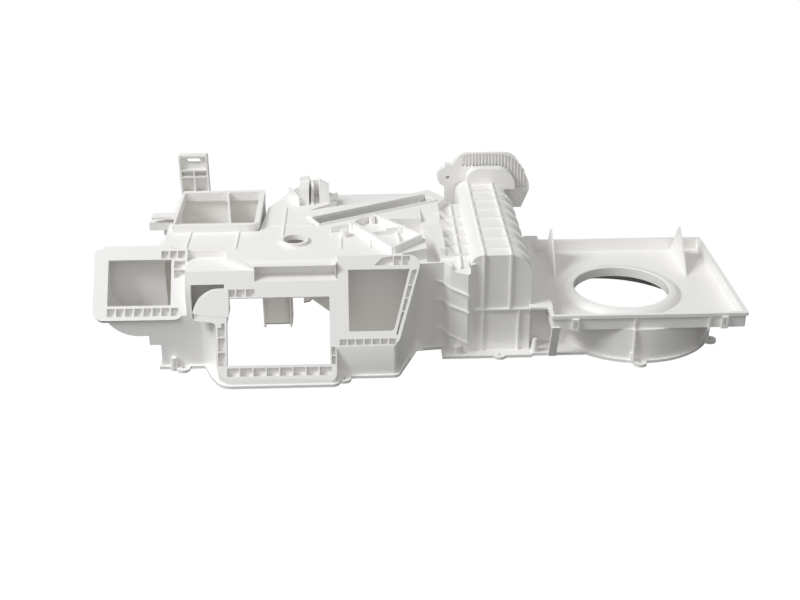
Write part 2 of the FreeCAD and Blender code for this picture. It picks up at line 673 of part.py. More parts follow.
def middle_frame():
    body, face = frame_body("middle")
    skin = s.rim_skin
    even_row(body, "middle_low", face, s.mid_open_left, s.mid_open_right + 3,
             s.mid_rim_low + skin + 1, s.mid_open_low - skin - 1.5, 8, s.pocket_deep)
    even_row(body, "middle_left", face, s.mid_rim_low + s.mid_round, s.mid_rim_high - 38,
             s.mid_left + skin + 0.4, s.mid_open_left - skin - 0.8, 3, s.pocket_deep, upright=True)
    even_row(body, "middle_top", face, s.mid_open_left, s.mid_open_left + 34,
             s.mid_open_high + skin, s.mid_rim_high - skin + 1, 3, s.pocket_deep)
    even_row(body, "middle_right", face, s.mid_rim_low + s.mid_round, s.mid_rim_low + s.mid_round + 21,
             s.mid_open_right + skin, s.mid_right - skin, 2, s.pocket_deep, upright=True)
    return body


def along(start, stop, share):
    return (start[0] + (as_dim(stop[0]) - start[0]) * share,
            start[1] + (as_dim(stop[1]) - start[1]) * share)


def right_frame():
    body, face = frame_body("right")
    skin = s.rim_skin
    even_row(body, "right_low", face, s.right_rim_left + skin, s.right_rim_foot - 1,
             s.right_rim_low + skin, s.right_open_low - 2 * skin - 6, 7, s.pocket_deep)
    inner = [(s.right_open_foot + 2.5, s.right_open_low - 4), (s.right_open_shoulder + 3, s.right_open_high)]
    outer = [(s.right_rim_foot - 0.5, s.right_rim_low + 12),
             (s.right_rim_shoulder - 7, s.right_rim_high - 16)]
    shares = [0.0, 0.36, 0.56, 0.76, 1.0]
    for i in range(4):
        low, high = shares[i], shares[i + 1] - 0.02
        corners = [along(inner[0], inner[1], low), along(outer[0], outer[1], low),
                   along(outer[0], outer[1], high), along(inner[0], inner[1], high)]
        pocket(body, "right_side_%d" % (i + 1), face, corners, s.pocket_deep)
    low, high = s.right_open_high + 3 * skin, s.right_rim_high - skin
    lens_left, lens_right = s.right_open_left + 31, s.right_open_shoulder - 19.5
    pocket(body, "right_lens", face, [(lens_left, low), (lens_right, low), (lens_right, high),
                                      (lens_left + 8, high - 2, s.corner_small)], s.pocket_deep)
    even_row(body, "right_top", face, lens_right + skin, s.right_open_shoulder + 2, low, high, 2,
             s.pocket_deep)
    return body


def left_frame():
    body, face = frame_body("left")
    high = (s.left_top - s.left_foot_z) / sine(s.left_tilt)
    skin = s.rim_skin
    even_row(body, "left_low", face, s.left_open_left, s.left_inner - 8, 3 * skin,
             s.left_open_low - 2 * skin, 8, s.pocket_deep)
    even_row(body, "left_top", face, s.left_open_right - 12, s.left_inner - skin,
             s.left_open_high + skin, high - 2 * skin, 3, s.pocket_deep)
    even_row(body, "left_side", face, s.left_open_high - 22, s.left_open_high,
             s.left_open_right + 2 * skin, s.left_inner - 2 * skin, 2, s.pocket_deep, upright=True)
    return body


def tray():
    """The square tray round the blower inlet, with its lip and the raised ring of the inlet."""
    body = doc.addObject("PartDesign::Body", "tray")
    edges = [(s.tray_left, s.tray_front), (s.tray_right, s.tray_front),
             (s.tray_right, s.tray_back), (s.tray_left, s.tray_back)]
    lip = [(x + s.tray_lip * i, y + s.tray_lip * j)
           for (x, y), (i, j) in zip(edges, [(-1, -1), (1, -1), (1, 1), (-1, 1)])]
    for name, corners, low, tall in (("tray_block", edges, s.tray_floor, s.tray_rim - s.tray_floor),
                                     ("tray_lip", lip, s.tray_rim - 4, as_dim(4))):
        sketch = body_sketch(body, name + "_line", level(low))
        draw_outline(sketch, [corner + (as_dim(3),) for corner in corners])
        pad = body.newObject("PartDesign::Pad", name)
        pad.Profile = sketch
        pad.setExpression("Length", tall.formula)
    inside = [(x - s.tray_wall * i, y - s.tray_wall * j)
              for (x, y), (i, j) in zip(edges, [(-1, -1), (1, -1), (1, 1), (-1, 1)])]
    pocket(body, "tray_inside", level(s.tray_rim), inside, s.tray_rim - s.tray_floor - s.tray_wall)
    ring = body_sketch(body, "inlet_ring_section", Place((s.wheel_x, s.wheel_y, 0), X_AXIS, 90))
    floor = s.tray_floor + s.tray_wall
    draw_outline(ring, [(s.inlet_radius, s.tray_floor), (s.inlet_radius, s.inlet_lip - 1),
                        (s.inlet_radius + 1, s.inlet_lip), (s.inlet_radius + 7, s.inlet_lip),
                        (s.inlet_radius + 11, s.inlet_lip - 2), (s.inlet_radius + 15, floor - 1),
                        (s.inlet_radius + 15, s.tray_floor)])
    turned = body.newObject("PartDesign::Revolution", "inlet_ring")
    turned.Profile = ring
    turned.ReferenceAxis = (ring, ["V_Axis"])
    turned.Angle = 360
    hole = body_sketch(body, "inlet_line", level(s.inlet_lip + 5))
    draw_circle(hole, s.wheel_x, s.wheel_y, s.inlet_radius)
    bore = body.newObject("PartDesign::Pocket", "inlet")
    bore.Profile = hole
    bore.setExpression("Length", (s.inlet_lip + 5 - s.tray_floor + 5).formula)
    return body


def plate_top_at(x):
    """How high the round seal plate is at a place across."""
    middle, half = (s.plate_left + s.plate_right) / 2, (s.plate_right - s.plate_left) / 2
    share = (x - middle) / half
    root = math.sqrt(max(0.0, 1 - share.number ** 2))
    return s.plate_shoulder + (s.plate_top - s.plate_shoulder) * root


def rear_plate():
    """The round seal plate behind the evaporator, with upright slats, its screw lug and the dome."""
    body = doc.addObject("PartDesign::Body", "rear_plate")
    back = s.plate_front + s.plate_thick
    plate_line = [(s.plate_left, s.plate_low), (s.plate_left, s.plate_step_z),
                  (s.plate_step, s.plate_step_z), (s.plate_step + 13, s.plate_top, as_dim(14)),
                  (s.plate_right - 24, s.plate_top, as_dim(22)),
                  (s.plate_right, s.plate_shoulder + 12, as_dim(30)), (s.plate_right, s.plate_shoulder),
                  (s.plate_right - 10, s.plate_low)]
    dome_line = [(s.dome_left, s.top - 8), (s.dome_right, s.top - 8),
                 (s.dome_right, s.dome_top, as_dim(24)), (s.dome_left, s.dome_top, as_dim(16))]
    dome_deep = s.plate_front + 2 - s.cooler_back + 12
    for name, corners, face, deep in (("plate", plate_line, back, s.plate_thick),
                                      ("dome", dome_line, s.plate_front + 2, dome_deep)):
        sketch = body_sketch(body, name + "_line", facing_front(face))
        draw_outline(sketch, corners)
        pad = body.newObject("PartDesign::Pad", name)
        pad.Profile = sketch
        pad.setExpression("Length", deep.formula)
    lug_line = body_sketch(body, "lug_line", facing_front(back))
    draw_circle(lug_line, s.lug_x, s.lug_z, s.lug_radius)
    lug = body.newObject("PartDesign::Pad", "lug")
    lug.Profile = lug_line
    lug.setExpression("Length", s.plate_thick.formula)
    face = facing_front(s.plate_front)
    for i in range(sizes["slat_count"]):
        left = s.plate_step + 11 + s.slat_pitch * i
        high = plate_top_at(left + s.slat_gap / 2) - s.wall
        low = s.dome_top + 1 if left.number < sizes["dome_right"] else s.plate_shoulder + 3
        if high.number - low.number > 3:
            pocket(body, "slat_gap_%d" % (i + 1), face,
                   [(left, low), (left + s.slat_gap, low), (left + s.slat_gap, high), (left, high)],
                   s.plate_thick - s.wall)
    hole_line = body_sketch(body, "lug_hole_line", facing_front(s.plate_front - 1))
    draw_circle(hole_line, s.lug_x, s.lug_z, s.lug_hole)
    hole = body.newObject("PartDesign::Pocket", "lug_hole")
    hole.Profile = hole_line
    hole.setExpression("Length", (s.plate_thick + 2).formula)
    return body


def bracket():
    """The upright bracket behind the rear outlet, with its slotted hole and cross ribs."""
    body = doc.addObject("PartDesign::Body", "bracket")
    front = s.rear_back - 2
    sketch = body_sketch(body, "bracket_line", facing_front(front + s.bracket_deep))
    draw_outline(sketch, [(s.bracket_left, s.top - 20), (s.bracket_right, s.top - 20),
                          (s.bracket_right, s.bracket_high, as_dim(1.5)),
                          (s.bracket_left, s.bracket_high, as_dim(1.5))])
    pad = body.newObject("PartDesign::Pad", "bracket_pad")
    pad.Profile = sketch
    pad.setExpression("Length", s.bracket_deep.formula)
    face = facing_front(front)
    inner_left, inner_right = s.bracket_left + s.wall, s.bracket_right - s.wall
    middle = (s.bracket_left + s.bracket_right) / 2
    half = s.web / 2
    floor_high = s.bracket_slot_z - 11
    pocket(body, "bracket_head", face, [(inner_left, floor_high), (inner_right, floor_high),
                                        (inner_right, s.bracket_high - s.wall),
                                        (inner_left, s.bracket_high - s.wall)], 5)
    for i, (x0, x1) in enumerate(((inner_left, middle - half), (middle + half, inner_right))):
        for j, (z0, z1) in enumerate(((floor_high - 9, floor_high - 2), (s.top + 4, floor_high - 11))):
            pocket(body, "bracket_cell_%d%d" % (i, j), face, [(x0, z0), (x1, z0), (x1, z1), (x0, z1)],
                   s.bracket_deep - s.wall)
    run = s.bracket_slot_long / 2
    rise = s.bracket_slot_wide / 2
    pocket(body, "bracket_slot", face,
           [(middle - run, s.bracket_slot_z - rise, rise - 0.05),
            (middle + run, s.bracket_slot_z - rise, rise - 0.05),
            (middle + run, s.bracket_slot_z + rise, rise - 0.05),
            (middle - run, s.bracket_slot_z + rise, rise - 0.05)],
           s.bracket_deep)
    return body


# Parts of the skin: ribs, webs, bosses and lugs that stand on the chambers.

def top_ribs():
    """Low ribs on the top, four along Y and one across."""
    low, high, half = s.top - s.wall / 2, s.top + s.rib_high / 2, s.rib_thick / 2
    rows = [(s.left_side + 29.4, s.duct_front - 50, s.duct_front),
            (s.mid_left + 19.9, s.duct_front - 52, s.duct_front),
            (s.shaft_x - 15.4, s.shaft_y + 16, s.tower_front - 6),
            (s.mid_right + 6, s.shaft_y - 24, s.mount_left_y - 2),
            (s.mid_right + 40.8, s.shaft_y - 22, s.shaft_y + 2)]
    ribs = [box("top_rib_%d" % i, (x - half, x + half), (y0, y1), (low, high))
            for i, (x, y0, y1) in enumerate(rows, 1)]
    cross = s.slot_y + 2.4
    ribs.append(box("top_cross_rib", (s.shaft_x - 32.6, s.slot_x - 11), (cross - half, cross + half),
                    (low, high)))
    return ribs


def evaporator_ribs():
    """Two long ribs over the top and down the front, and hoops across them and down the right."""
    high, half = s.top + s.rib_high, s.rib_thick / 2
    front, face = s.cooler_front - s.rib_high, s.cooler_front + 1
    left, right = s.cooler_left + 16, s.cooler_left + 48
    belt = s.top * 0.45
    ribs = [box("belt", (s.cooler_left, s.cooler_right), (front, face), (belt - half, belt + half))]
    for name, x in (("left", left), ("right", right)):
        ribs.append(box("long_rib_" + name, (x - half, x + half), (s.cooler_front, s.cooler_back - 4),
                        (s.top - 1, high)))
    for name, x, low, top in (("left", left, 0, high), ("right", right, belt, high),
                              ("low", right + 11, 0, belt)):
        ribs.append(box("front_rib_" + name, (x - half, x + half), (front, face), (low, top)))
    hoop_line = outline("hoop", facing_front(s.rib_first),
                        [(left, s.top - 30), (s.cooler_right + s.rib_high, s.top - 30),
                         (s.cooler_right + s.rib_high, high, s.cooler_round_right + s.rib_high),
                         (left, high)])
    inner_line = outline("hoop_inside", facing_front(s.rib_first),
                         [(left - 8, s.top - 40), (s.cooler_right - 1, s.top - 40),
                          (s.cooler_right - 1, s.top - 1, s.cooler_round_right - 1), (left - 8, s.top - 1)])
    hoop = cut("hoop_ring", extrude("hoop_solid", hoop_line, 0, s.rib_thick, True),
               [extrude("hoop_gap", inner_line, -1, s.rib_thick + 1, True)])
    return ribs + copies("hoop", hoop, sizes["rib_count"], s.rib_pitch)


def copies(name, source, count, pitch):
    """The source and its copies, set apart along Y."""
    row = [source]
    for i in range(1, count):
        twin = doc.addObject("App::Link", "%s_%d" % (name, i + 1))
        twin.LinkedObject = source
        twin.setExpression("Placement.Base.y", (as_dim(pitch) * i).formula)
        row.append(twin)
    return row


def saddle_ribs():
    """The ribs that step down from the mixing chamber to the evaporator chamber, and the long rib."""
    left, right, floor = s.saddle_left - 2, s.cooler_left + 2, s.saddle_top - 2
    high, crest = s.saddle_top + s.rib_high, s.top + 0.5
    line = outline("wave", facing_front(s.wave_first),
                   [(left, floor), (right, floor), (right, high), (s.wave_foot, high, as_dim(5)),
                    (s.wave_head, crest, as_dim(4)), (left, crest)])
    ribs = copies("wave", extrude("wave_rib", line, 0, s.rib_thick, True), sizes["wave_count"], s.wave_pitch)
    near, far = s.cooler_front + 2, s.saddle_back - 4
    ribs.append(side_plate("saddle_long_rib", (s.wave_foot + s.cooler_left) / 2 - 3,
                           [(near, floor - 7), (s.slope_back, floor), (far, floor), (far, high),
                            (s.slope_back, high), (near, high - 7)], s.rib_thick))
    return ribs


def saddle_front_ribs(saddle_line):
    """Three short slanted ribs on the curved front wall between the two chambers."""
    grown = extrude("saddle_grown", offset("saddle_rib_line", saddle_line, s.rib_high),
                    s.run_out, s.run_out + s.saddle_top)
    left, right, half = s.slope_left - 20, s.cooler_left - 1, s.rib_thick / 2
    slabs = []
    for i, (left_z, right_z) in enumerate(((92, 79), (68, 57), (30, 16)), 1):
        slab = outline("slab_%d" % i, facing_front(s.saddle_front - 8),
                       [(left, left_z + half), (left, left_z - half), (right, right_z - half),
                        (right, right_z + half)])
        slabs.append(extrude("slab_solid_%d" % i, slab, 0, 30, True))
    return [overlap("saddle_front_ribs", [grown, join("slabs", slabs)])]


def actuator_mount():
    """The tilted frame of walls that carried the flap motor, with its bar and posts."""
    low, high, web = s.top - 1, s.top + s.mount_high, s.web
    left, bend = (s.mount_left_x, s.mount_left_y), (s.mount_bend_x, s.mount_bend_y)
    peak, right = (s.mount_peak_x, s.mount_peak_y), (s.mount_right_x, s.mount_right_y)
    foot = (s.mount_foot_x, s.mount_foot_y)
    middle = along(peak, right, 0.6)
    centre = along(bend, right, 0.5)
    return [
        wall_between("mount_back_left", left, bend, low, high - 3, web),
        wall_between("mount_back_right", bend, peak, low, high - 1, web),
        wall_between("mount_right", peak, right, low, high, web),
        wall_between("mount_front", right, foot, low, high - 1, web + 1),
        wall_between("mount_bar", bend, foot, low, high - 1, s.mount_bar),
        wall_between("mount_middle", centre, middle, low, high - 2, web),
        wall_between("mount_short", along(bend, foot, 0.35), centre, low, high - 5, web - 0.4),
        wall_between("mount_shelf", along(foot, right, 0.3), along(centre, middle, 0.7), low, high - 7, web),
        post("mount_post_left", bend[0] + 1, bend[1] - 4, low, high, 4.5),
        post("mount_post_peak", peak[0] - 1, peak[1] - 8, low, high - 1, 4),
        post("mount_post_right", middle[0], middle[1], low, high - 1, 4.5),
        post("mount_post_round", bend[0] - 9, bend[1] - 26, low, high - 2, 5.5),
    ]


def tower():
    """The fastening tower: a block with a horn, gussets with slanted fronts and a leaf beside them."""
    base, back, x = s.top - 2, s.tower_back, s.tower_x
    front, web, high = s.tower_front, s.web, s.top + s.tower_high
    horn, leaf = s.top + s.tower_horn, s.top + s.tower_leaf
    skyline = [(x - 28, base), (x + 12, base), (x + 12, high), (x + 1, high), (x, horn), (x - 12, horn - 2),
               (x - 13, s.top + 13), (x - 22, s.top + 8), (x - 28, s.top + 10)]
    return [
        front_plate("tower_wall", back - web, skyline, web),
        box("tower_block", (x - 12, x), (front + 4, back), (base, high)),
        gusset("tower_gusset_left", x + 4, front, web + 1.5),
        gusset("tower_gusset_right", x + 14, front + 7, web),
        front_plate("tower_leaf_plate", front + 10, [(x + 14, base), (x + 26, base), (x + 26, leaf - 7),
                                                     (x + 14, leaf)], web),
        wall_between("tower_wing_right", (x + 25, front + 11), (x + 36, front + 24), base, s.top + 9, web),
        wall_between("tower_wing_left", (x - 12, front), (x - 26, back - web), base, s.top + 12, web),
    ]


def gusset(name, x, front, thick):
    """An upright plate along Y that rises from its front foot to the tower's full height at the back."""
    back, high = s.tower_back, s.top + s.tower_high
    corners = [(front, s.top - 2), (back, s.top - 2), (back, high), (back - 10, high)]
    return side_plate(name, x, corners, thick)


def side_plate(name, x, corners, thick):
    """A plate that stands along Y, drawn from the side, with its middle at x."""
    return extrude(name, outline(name + "_line", facing_side(x - as_dim(thick) / 2), corners), 0, thick)


def front_plate(name, y, corners, thick):
    """A plate that faces the front, drawn from there, with its face at y."""
    return extrude(name, outline(name + "_line", facing_front(y), corners), 0, thick, True)


def front_details():
    """Webs from the tray down to the scroll, hooks under its lip, fins in it, and the shelf beside it."""
    low, web = s.tray_floor - 1, s.web
    face, under = s.tray_front - s.tray_lip, s.tray_rim - 3
    pieces = [
        side_plate("web_left", s.tray_left + 5, [(face, low + 5), (face + 5, low + 5), (face + 22, 0),
                                                 (face + 18, 0)], as_dim(9)),
        side_plate("web_middle", s.scroll_x - 13, [(face, under), (face + 3, under), (face + 3, low + 2),
                                                   (face + 18, low + 2), (face + 18, 0), (face, 0)], web),
        side_plate("web_right", s.scroll_x + 75, [(face, under), (face + 3, under), (face + 3, low + 2),
                                                  (face + 34, low + 2), (face + 34, 2), (face + 28, 2),
                                                  (face, low - 2)], web),
        post("web_boss", s.scroll_x - 13, face, 0, 13, 5, 4),
        box("link_shelf", (s.cooler_right - 2, s.tray_left + 4), (s.cooler_front - 9, s.link_front + 4),
            (s.link_top - 2, s.link_top + 0.5)),
        post("shelf_boss", s.cooler_right + 6, s.cooler_front - 7, 0, 20, 5.5, 2.5),
        box("left_step", (s.left_side - 13, s.left_side + 2), (s.left_front, s.left_front + 10),
            (s.left_duct_low - 12, s.left_duct_low + 4)),
        box("tray_lug", (s.tray_left - 3.6, s.tray_left + 14.4), (s.tray_back - 2, s.tray_back + 15),
            (s.tray_rim - 6, s.tray_rim)),
    ]
    for i, x in enumerate((s.tray_left + 27.4, s.tray_right - 26)):
        loop = [(x - 4, s.tray_floor), (x + 4, s.tray_floor), (x + 4, s.tray_rim - 4),
                (x - 4, s.tray_rim - 4)]
        gap = [(x - 1.4, s.tray_floor + 4), (x + 1.4, s.tray_floor + 4), (x + 1.4, s.tray_rim - 7),
               (x - 1.4, s.tray_rim - 7)]
        out = s.tray_front - 4
        pieces.append(cut("hook_%d" % (i + 1), front_plate("hook_solid_%d" % (i + 1), out, loop, 4.5),
                          [front_plate("hook_gap_%d" % (i + 1), out - 1, gap, 4)]))
    for i, x in enumerate((s.tray_left + s.tray_wall + 22, s.tray_right - s.tray_wall - 34)):
        base = s.tray_floor + 1
        pieces.append(side_plate("fin_%d" % (i + 1), x,
                                 [(s.fin_front, base), (s.tray_back - 2, base), (s.fin_tip + 3, s.fin_high),
                                  (s.fin_tip - 3, s.fin_high)], web))
    return pieces


def beside(x, y, radius, angle):
    """A place just outside a round wall."""
    reach = radius + s.foot_radius - 2
    return x + reach * cosine(as_dim(angle)), y + reach * sine(as_dim(angle))


screw_lugs = [
    (s.left_side + 25, s.left_front - 6), (s.mid_right + 8, s.step_front - 7),
    (s.cooler_left + 36, s.cooler_front - 14), (s.left_side - 4, s.duct_front - 10),
    (s.back_left - 4, s.crest_y + 5), (s.lip_right_x - 2, s.back_edge + 3),
    (s.cooler_right + 12, s.scroll_back_y + s.scroll_back_radius + 5.5),
    beside(s.scroll_x, s.scroll_y, s.scroll_radius, -93),
    beside(s.scroll_x, s.scroll_y, s.scroll_radius, -28),
    beside(s.scroll_back_x, s.scroll_back_y, s.scroll_back_radius, 19),
]


def feet():
    """Screw lugs and feet on the parting face, with posts on some."""
    plate = (0, s.flange_thick)
    lugs = [post("screw_lug_%d" % i, x, y, 0, s.flange_thick, s.foot_radius)
            for i, (x, y) in enumerate(screw_lugs, 1)]
    lugs.append(post("foot_post", s.left_side + 14, s.left_front - 4, 0, 16, 4.5, 3.5))
    lugs.append(post("saddle_boss", s.slope_left + 6, s.saddle_front - 1, 0, 14, 5))
    lugs.append(box("cooler_foot_plate", (s.slope_left - 12, s.cooler_right + 2),
                    (s.cooler_front - 17, s.cooler_front + 5), plate))
    lugs.append(box("scroll_foot_plate", (s.cooler_right - 2, s.scroll_x - 31),
                    (s.cooler_front - 13, s.link_front + 18), plate))
    step_left, corner = s.mid_left - 20, s.mid_front - 1
    flare = outline("flare", level(0), [(step_left, s.left_front + 3),
                                        (s.mid_left, corner, s.corner_front * 2),
                                        (s.mid_left + 61, corner), (s.mid_left + 61, s.left_front + 3)])
    lugs.append(extrude("flare_plate", flare, 0, s.flange_thick))
    return lugs


def screw_holes():
    return [post("screw_hole_%d" % i, x, y, -1, s.flange_thick + 1, s.screw_radius)
            for i, (x, y) in enumerate(screw_lugs, 1)]


def side_prongs():
    """The forked lug at the left of the rear outlet, and the pad on the side wall."""
    inside, y = s.left_side + 2, s.duct_front + 30
    pin = outline("prong_pin", facing_side(s.left_side - 26), [(y + 2, s.top - 9), (y + 10, s.top - 9),
                                                              (y + 10, s.top + 1), (y + 2, s.top + 1)])
    return [box("prong_plate", (s.left_side - 22, s.rear_left + 2), (y, y + 16),
                (s.rear_top - 3, s.rear_top)),
            extrude("prong_bar", pin, 0, 28),
            box("prong_step", (s.left_side - 10, inside), (y + 10, y + 22), (s.top - 19, s.top + 1)),
            box("side_pad", (s.left_side - 6, inside), (s.duct_front - 32, s.duct_front - 10),
                (s.top - 31, s.top - 5))]


def partitions():
    """Walls inside the case: heater pocket, outlet dividers and the foot duct."""
    w = s.wall
    top = s.top - 1
    ux, uy = cosine(s.slot_turn), sine(s.slot_turn)
    a = (s.slot_x, s.slot_y)
    b = (s.slot_x + ux * s.slot_long, s.slot_y + uy * s.slot_long)
    c = (b[0] - uy * s.slot_wide, b[1] + ux * s.slot_wide)
    d = (a[0] - uy * s.slot_wide, a[1] + ux * s.slot_wide)
    deep = s.top - s.slot_deep
    pieces = [wall_between(name, start, stop, deep, top, w)
              for name, start, stop in (("heater_front", a, b), ("heater_end", b, c), ("heater_back", c, d),
                                        ("heater_side", d, a))]
    back = s.room_back
    duct_right = s.mid_left + 80
    pieces += [
        wall_between("divider_right", (s.mid_right, back - 58), (s.mid_right, back), s.divider_low, top, w),
        wall_between("right_back", (s.mid_right - 1, back), (s.right_back_x + 10, back), 0, top, w),
        box("foot_duct_right", (duct_right - w, duct_right), (s.duct_front - 4, s.duct_front + 26),
            (0, top)),
        box("foot_duct_back", (s.rear_right - 3, duct_right), (s.duct_front, s.duct_front + w), (0, top)),
        wall_between("rear_divider", (s.divider_front, s.duct_front + 2),
                     (s.divider_back, s.rear_back - 2), s.divider_low + 20, s.rear_top - 1, w),
        box("rear_front_wall", (s.left_side + 1, s.rear_right - 1), (s.duct_front, s.duct_front + w),
            (s.divider_low + 2, top)),
    ]
    baffle = [(s.mid_right - 35, s.divider_low + 17.5), (s.mid_right, s.divider_low - 11),
              (s.mid_right, top), (s.mid_right - 35, top)]
    pieces.append(front_plate("baffle", back, baffle, w))
    return pieces


def openings():
    """What is cut through the finished skin."""
    turn = s.slot_turn
    slot = doc.addObject("Part::Box", "heater_slot")
    slot.setExpression("Length", (s.slot_long - s.wall).formula)
    slot.setExpression("Width", (s.slot_wide - s.wall).formula)
    slot.setExpression("Height", (s.rib_high + 14).formula)
    Place((s.slot_x + s.wall / 2 * cosine(turn) - s.wall / 2 * sine(turn),
           s.slot_y + s.wall / 2 * sine(turn) + s.wall / 2 * cosine(turn),
           s.top - 10), Z_AXIS, turn).apply(slot, "Placement")
    half = s.wall / 2
    cells = []
    for name, corners in (("left", [(s.rear_open_left, s.rear_open_front),
                                    (s.divider_front - half, s.rear_open_front),
                                    (s.divider_back - half, s.rear_open_back),
                                    (s.rear_open_left, s.rear_open_back)]),
                          ("right", [(s.divider_front + half, s.rear_open_front),
                                     (s.rear_open_right, s.rear_open_front),
                                     (s.rear_open_right, s.rear_open_back),
                                     (s.divider_back + half, s.rear_open_back)])):
        cell = outline("rear_%s_cell" % name, level(s.top - 12), corners)
        cells.append(extrude("rear_%s_taken" % name, cell, 0, s.rear_top - s.top + 17))
    shaft = post("shaft_hole", s.shaft_x, s.shaft_y, s.top - 10, s.top + 10, s.shaft_radius)
    inlet = post("inlet_hole", s.wheel_x, s.wheel_y, s.tray_floor - 5, s.inlet_lip + 5, s.inlet_radius)
    return [slot, shaft, inlet] + cells + screw_holes()


def build():
    mixing_line, mixing, mixing_hollow = mixing_chamber()
    back_line, back, back_hollow = back_slope()
    saddle_line, saddle_outer, saddle_hollow = saddle()
    cooler_line, cooler, cooler_hollow = evaporator_chamber()
    elbow, elbow_hollow = left_elbow()
    rear_line, rear, rear_hollow = rear_duct()
    scroll_line, scroll, scroll_hollow = blower_scroll()
    link_line, link, link_hollow = link_duct()
    flanges = [extrude("flange_%d" % i, offset("flange_line_%d" % i, line, s.flange_out),
                       s.run_out, s.run_out + s.flange_thick)
               for i, line in enumerate((mixing_line, back_line, saddle_line, cooler_line, rear_line,
                                         scroll_line, link_line), 1)]
    taken, kept = zip(*steps())
    skin = cut("skin", join("chambers", [mixing, back, saddle_outer, cooler, elbow, scroll, link] + rear),
               list(taken))
    frames = [middle_frame(), right_frame(), left_frame()]
    hollow = cut("hollow", join("hollows", [mixing_hollow, back_hollow, saddle_hollow, cooler_hollow,
                                            elbow_hollow, rear_hollow, scroll_hollow, link_hollow]),
                 list(kept))
    shell = cut("shell", join("solid_case", [skin] + flanges + feet()), [hollow] + frame_rooms())
    collar = post("shaft_collar", s.shaft_x, s.shaft_y, s.top - 1, s.top + s.shaft_collar,
                  s.shaft_radius + s.collar_wall)
    wall = cut("mixing_wall", mixing, [mixing_hollow])
    arc = front_plate("nook_arc", s.mid_front, [(s.nook_left + 1.5, s.nook_low - s.wall),
                                                (s.mid_left + 6, s.nook_low - s.wall),
                                                (s.mid_left + 6, s.nook_high - 5),
                                                (s.nook_left + 1.5, s.nook_high - 5, s.nook_round)],
                      s.nook_back - s.mid_front - s.wall)
    pieces = [shell] + frames + [tray(), rear_plate(), bracket(), collar, overlap("nook_plate", [wall, arc])]
    pieces += top_ribs() + evaporator_ribs() + saddle_ribs() + saddle_front_ribs(saddle_line)
    pieces += actuator_mount() + tower()
    pieces += front_details() + side_prongs() + partitions()
    dressed = join("dressed", pieces)
    around = s.frame_reach + 20
    trim = box("parting_trim", (s.left_edge - around, s.tray_right + around),
               (s.mid_front - 2 * around, s.plate_front + s.plate_thick + around), (-s.run_out - around, 0))
    housing = cut(NODE, dressed, openings() + [trim])
    housing.Label = NODE
    housing.Refine = True
    middle_x = (s.left_edge + s.tray_right + s.tray_lip) / 2
    middle_y = (s.plate_front + s.plate_thick + s.mid_front - s.flange_out) / 2
    housing.setExpression("Placement.Base.x", (-middle_x).formula)
    housing.setExpression("Placement.Base.y", (-middle_y).formula)
    return housing


housing = build()
doc.recompute()
for thing in doc.Objects:
    if "Invalid" in thing.State or "Error" in thing.State:
        raise RuntimeError("%s is %s" % (thing.Name, thing.State))
shape = housing.Shape
if shape.isNull() or not shape.isValid():
    raise RuntimeError("%s has no valid shape" % NODE)
print("solids %d, faces %d, volume %.0f mm3, box %s" % (len(shape.Solids), len(shape.Faces),
                                                      shape.Volume, shape.BoundBox))
os.makedirs("parts", exist_ok=True)
shape.exportStep(os.path.join("parts", NODE + ".step"))
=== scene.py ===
import math

import bmesh
import bpy
from mathutils import Matrix, Vector


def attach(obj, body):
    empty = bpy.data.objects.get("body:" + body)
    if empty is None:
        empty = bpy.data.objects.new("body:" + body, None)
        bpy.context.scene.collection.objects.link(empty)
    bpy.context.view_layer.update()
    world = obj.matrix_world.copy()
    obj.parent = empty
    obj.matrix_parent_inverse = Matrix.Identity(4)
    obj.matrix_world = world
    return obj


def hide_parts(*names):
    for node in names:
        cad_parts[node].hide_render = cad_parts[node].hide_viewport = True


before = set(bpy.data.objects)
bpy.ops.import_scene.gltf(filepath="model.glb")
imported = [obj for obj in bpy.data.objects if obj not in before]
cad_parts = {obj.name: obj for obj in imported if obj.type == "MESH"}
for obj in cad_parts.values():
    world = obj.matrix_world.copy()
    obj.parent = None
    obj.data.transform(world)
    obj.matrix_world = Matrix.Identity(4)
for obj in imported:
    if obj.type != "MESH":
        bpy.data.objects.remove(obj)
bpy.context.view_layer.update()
print("frame loaded:", ", ".join(sorted(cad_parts)))

# The look of the plastic. Each texture has a scale, counted per metre, and a detail.
plasticLook = {
    "base": (0.948, 0.939, 0.918), "warm": (0.948, 0.928, 0.89), "mostWarm": 0.35, "warmSpan": (0.35, 0.7),
    "flow": (9.0, 3.0), "grain": (1400.0, 2.0), "cloud": (38.0, 4.0),
    "roughness": 0.42, "cloudRough": 0.12, "grainRough": 0.08, "ior": 1.46, "specular": 0.4,
    "bump": 0.12, "bumpDeep": 0.0002, "cloudBump": 0.4, "grainBump": 0.6,
}
camera = {
    "eye": (-0.0678, -1.4089, 0.7042), "down": 25.68, "right": 1.83, "roll": -0.2875,
    "focalPixels": 1231.3, "photoWidth": 800, "sensor": 36.0,
}
stage = {
    "floorSize": 14.0, "floorColor": (0.14, 0.14, 0.14), "seenWhite": 0.93, "whiteLevel": 1.09,
    "skyLight": 0.44, "lampAim": (0, 0, 0.08),
}
lights = {
    "keyLight": {"place": (-2.8, -1.1, 3.0), "size": 1.8, "power": 112.0, "tint": (0.974, 0.986, 1.0)},
    "frontLight": {"place": (-0.5, -2.7, 1.3), "size": 1.4, "power": 5.0, "tint": (1.0, 0.985, 0.965)},
}
# Stands for the light that the thin white walls let through to the rooms inside. It faces up.
glow = {
    "place": (-0.143, -0.004, 0.0015), "size": 0.29, "deep": 0.21, "power": 0.085,
    "tint": (1.0, 0.965, 0.91),
}

